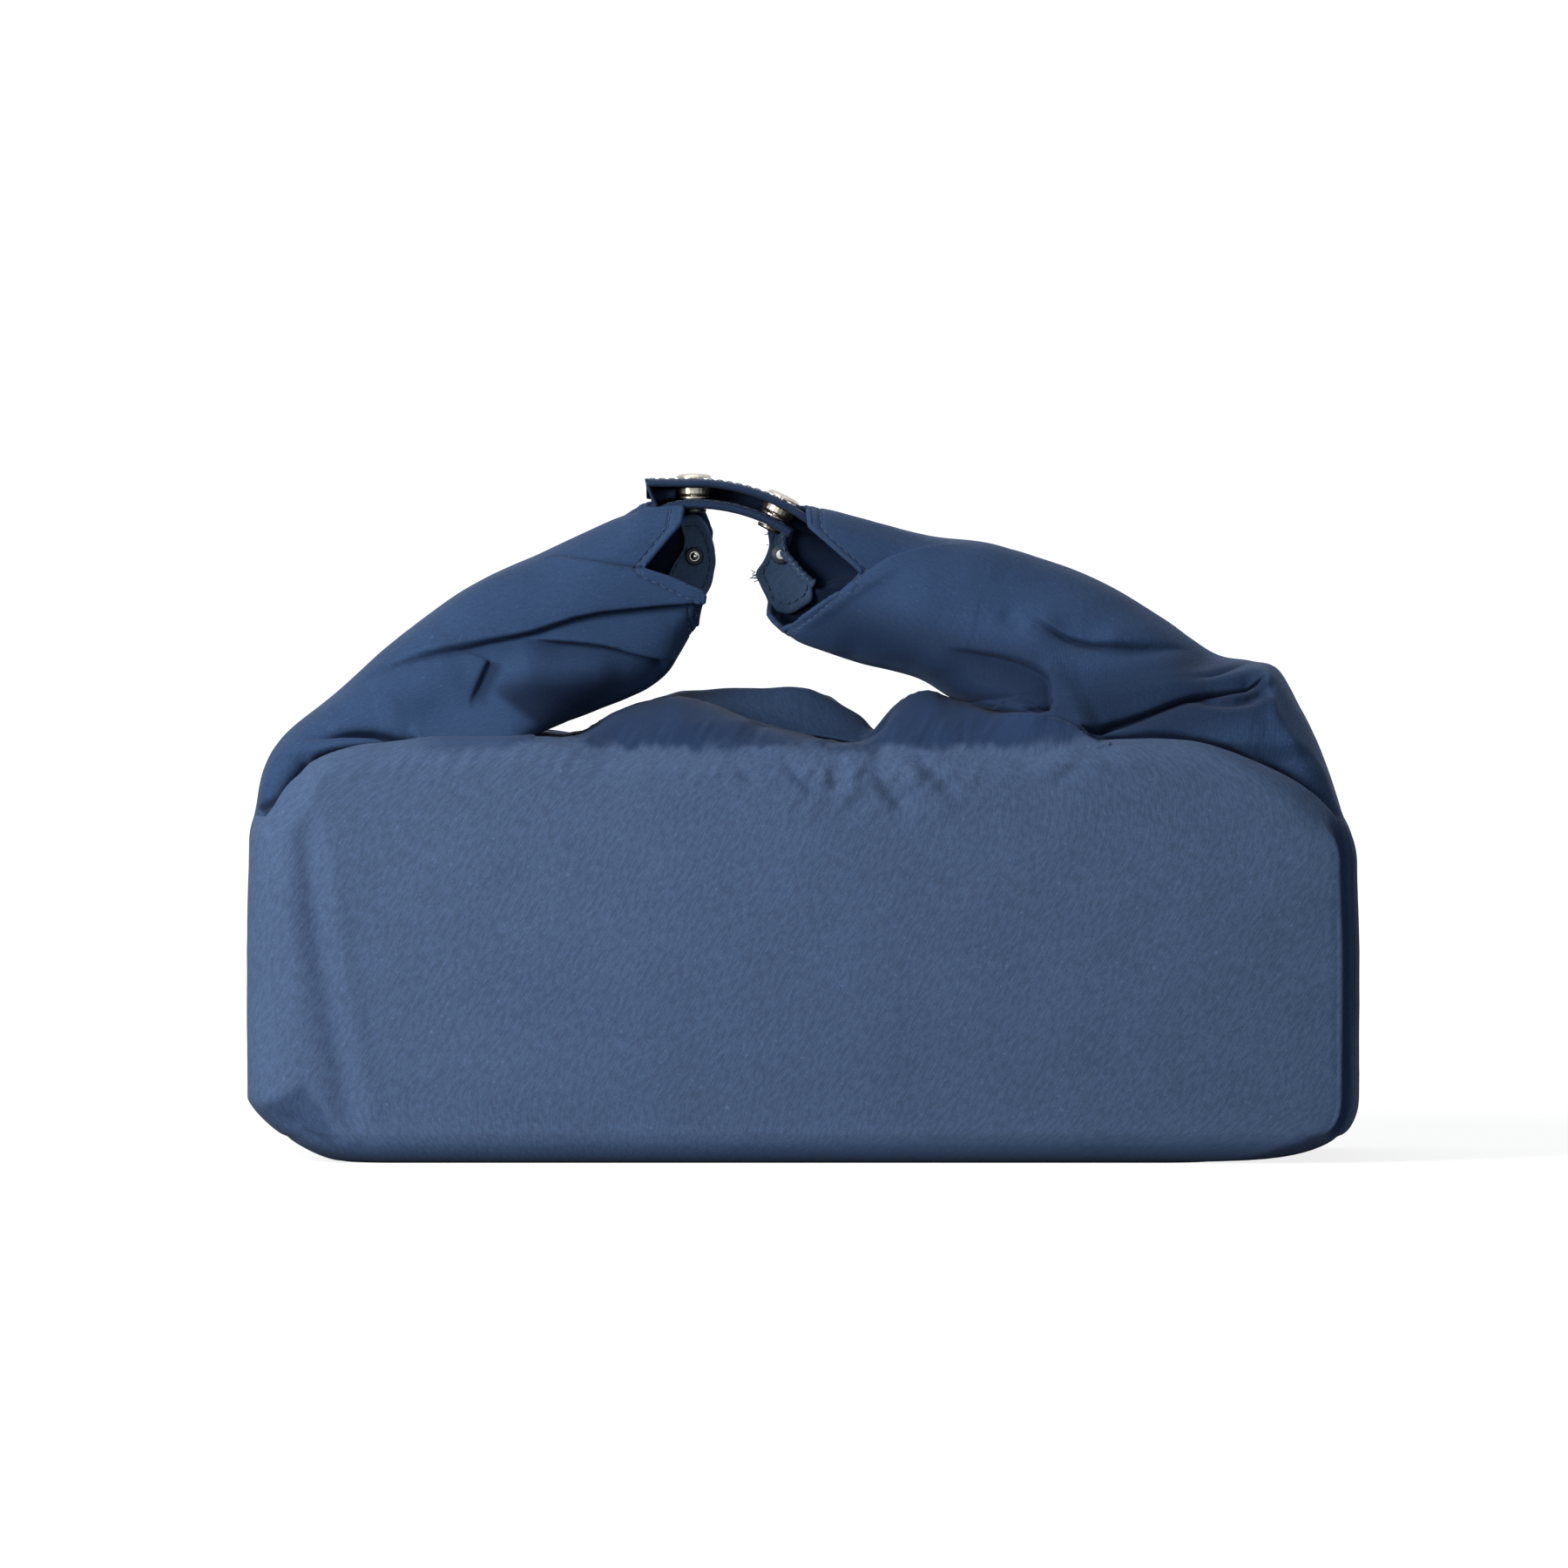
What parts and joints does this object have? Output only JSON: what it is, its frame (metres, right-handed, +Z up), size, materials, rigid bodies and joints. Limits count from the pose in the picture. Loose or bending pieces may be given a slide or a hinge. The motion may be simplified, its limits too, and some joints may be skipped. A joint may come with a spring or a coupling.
{
  "type": "lunch bag",
  "caption": "Soft box lunch bag in blue twill whose gathered ends rise as two horns and snap together over the mouth as a carrying handle.",
  "frame": {"origin": "on the floor, under the middle of the bag", "axes": "+X to the right along the bag's length, +Y to the back, +Z up"},
  "size_m": [0.319, 0.12, 0.1972],
  "materials": {
    "cloth": "fine twill, matt with a slight sheen",
    "hem": "folded and stitched twill",
    "lining": "smooth coated lining",
    "foam": "soft closed-cell foam",
    "board": "matt",
    "snap_metal": "polished pressed metal"
  },
  "bodies": {
    "bag": {"front_panel": "cloth", "back_panel": "cloth", "left_gusset": "cloth", "right_gusset": "cloth", "bottom_panel": "cloth", "front_foam": "foam", "back_foam": "foam", "left_foam": "foam", "right_foam": "foam", "base_board": "board", "lining": "lining"},
    "front_lip": {"front_lip": "cloth"},
    "back_lip": {"back_lip": "cloth"},
    "left_horn": {"left_horn": "cloth", "left_mouth_hem": "hem", "left_hem_stud": "snap_metal", "left_hem_post": "snap_metal"},
    "right_horn": {"right_horn": "cloth", "right_mouth_hem": "hem", "right_hem_cap": "snap_metal", "right_hem_socket": "snap_metal"},
    "lower_tab": {"lower_snap_tab": "hem", "snap_a_stud": "snap_metal", "snap_a_post": "snap_metal", "snap_b_stud": "snap_metal", "snap_b_post": "snap_metal"},
    "upper_tab": {"upper_snap_tab": "hem", "snap_a_cap": "snap_metal", "snap_a_socket": "snap_metal", "snap_b_cap": "snap_metal", "snap_b_socket": "snap_metal"}
  },
  "joints": [
    {"name": "right_horn_swing", "type": "hinge", "parent": "bag", "child": "right_horn", "pos_m": [0.1554, 0, 0.098], "axis": [0, 1, 0], "range_deg": [0, 105]},
    {"name": "left_horn_swing", "type": "hinge", "parent": "bag", "child": "left_horn", "pos_m": [-0.1576, 0, 0.1], "axis": [0, -1, 0], "range_deg": [0, 70]},
    {"name": "front_lip_open", "type": "hinge", "parent": "bag", "child": "front_lip", "pos_m": [0, -0.0491, 0.11875], "axis": [1, 0, 0], "range_deg": [0, 95]},
    {"name": "back_lip_open", "type": "hinge", "parent": "bag", "child": "back_lip", "pos_m": [0, 0.0491, 0.11875], "axis": [-1, 0, 0], "range_deg": [0, 95]},
    {"name": "lower_tab_droop", "type": "hinge", "parent": "left_horn", "child": "lower_tab", "pos_m": [-0.0433, 0, 0.1841], "axis": [0, 1, 0], "range_deg": [0, 44]},
    {"name": "upper_tab_peel", "type": "hinge", "parent": "right_horn", "child": "upper_tab", "pos_m": [0.0021, 0, 0.1849], "axis": [0, 1, 0], "range_deg": [0, 95]}
  ],
  "couplings": [
    {"joint": "left_horn_swing", "follows": "right_horn_swing", "ratio": 0.65},
    {"joint": "front_lip_open", "follows": "right_horn_swing", "ratio": 0.9},
    {"joint": "back_lip_open", "follows": "right_horn_swing", "ratio": 0.9},
    {"joint": "lower_tab_droop", "follows": "right_horn_swing", "ratio": 0.4}
  ]
}
